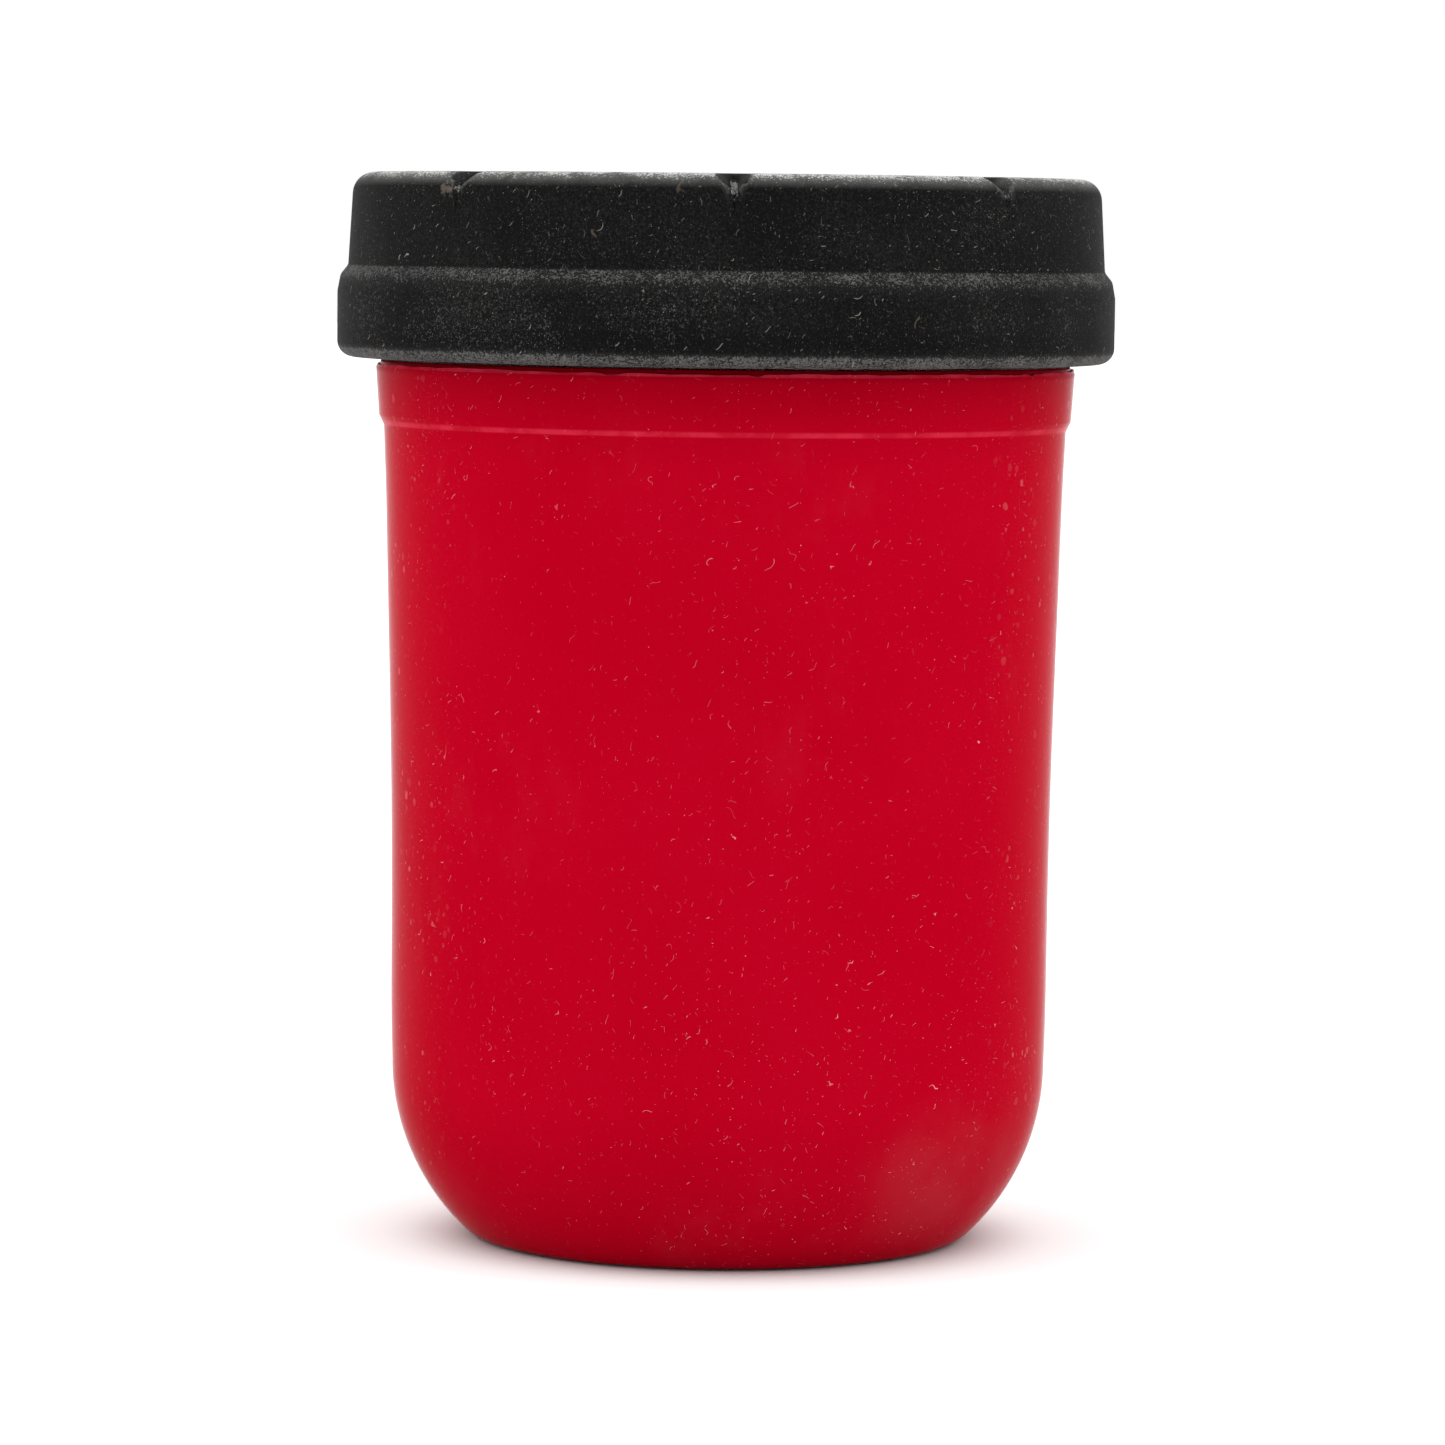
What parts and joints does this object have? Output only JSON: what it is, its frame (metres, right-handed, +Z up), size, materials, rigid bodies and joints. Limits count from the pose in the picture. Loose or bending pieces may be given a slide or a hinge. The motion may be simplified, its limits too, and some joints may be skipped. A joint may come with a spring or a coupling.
{
  "type": "storage jar",
  "caption": "Soft-sleeved round screw-top jar with a rounded heel and a wide two-tier push-and-turn lid, notched round its top edge.",
  "frame": {"origin": "centre of the sleeve's base, on the surface the jar stands on", "axes": "+Z up along the jar's axis towards the lid; -Y is the side seen in the picture, +X to its right"},
  "size_m": [0.0822, 0.0822, 0.1125],
  "materials": {
    "red_silicone": "matt soft silicone with a faint satin edge",
    "clear_glass": "clear pressed soda-lime glass",
    "seal_silicone": "translucent white silicone",
    "disc_plastic": "natural white polypropylene",
    "inner_cap_plastic": "fine satin black polypropylene",
    "spring_steel": "bright spring steel strip",
    "outer_cap_plastic": "fine satin black polypropylene",
    "black_silicone": "matt black silicone that holds dust"
  },
  "bodies": {
    "sleeve": {"silicone_sleeve": "red_silicone"},
    "jar": {"glass_jar": "clear_glass"},
    "seal": {"seal_disc": "disc_plastic", "seal_gasket": "seal_silicone"},
    "threaded_cap": {"inner_cap": "inner_cap_plastic"},
    "spring": {"spring_ring": "spring_steel"},
    "outer_cap": {"outer_cap": "outer_cap_plastic", "lid_cover": "black_silicone"}
  },
  "joints": [
    {"name": "jar_lift_out", "type": "slide", "parent": "sleeve", "child": "jar", "axis": [0, 0, 1], "range_m": [0, 0.095]},
    {"name": "thread_rise", "type": "slide", "parent": "jar", "child": "seal", "axis": [0, 0, 1], "range_m": [0, 0.02541]},
    {"name": "lid_turn", "type": "hinge", "parent": "seal", "child": "threaded_cap", "pos_m": [0, 0, 0.0951], "axis": [0, 0, 1], "range_deg": [0, 1800]},
    {"name": "outer_cap_spin", "type": "hinge", "parent": "threaded_cap", "child": "spring", "pos_m": [0, 0, 0.1076], "axis": [0, 0, 1], "continuous": true},
    {"name": "push_down", "type": "slide", "parent": "spring", "child": "outer_cap", "axis": [0, 0, 1], "range_m": [-0.00115, 0], "stiffness_N_per_m": 12000, "springref_m": 0.0003, "deforming": ["spring_ring"]}
  ],
  "couplings": [
    {"joint": "thread_rise", "follows": "lid_turn", "m_per_rad": 0.00080851}
  ]
}
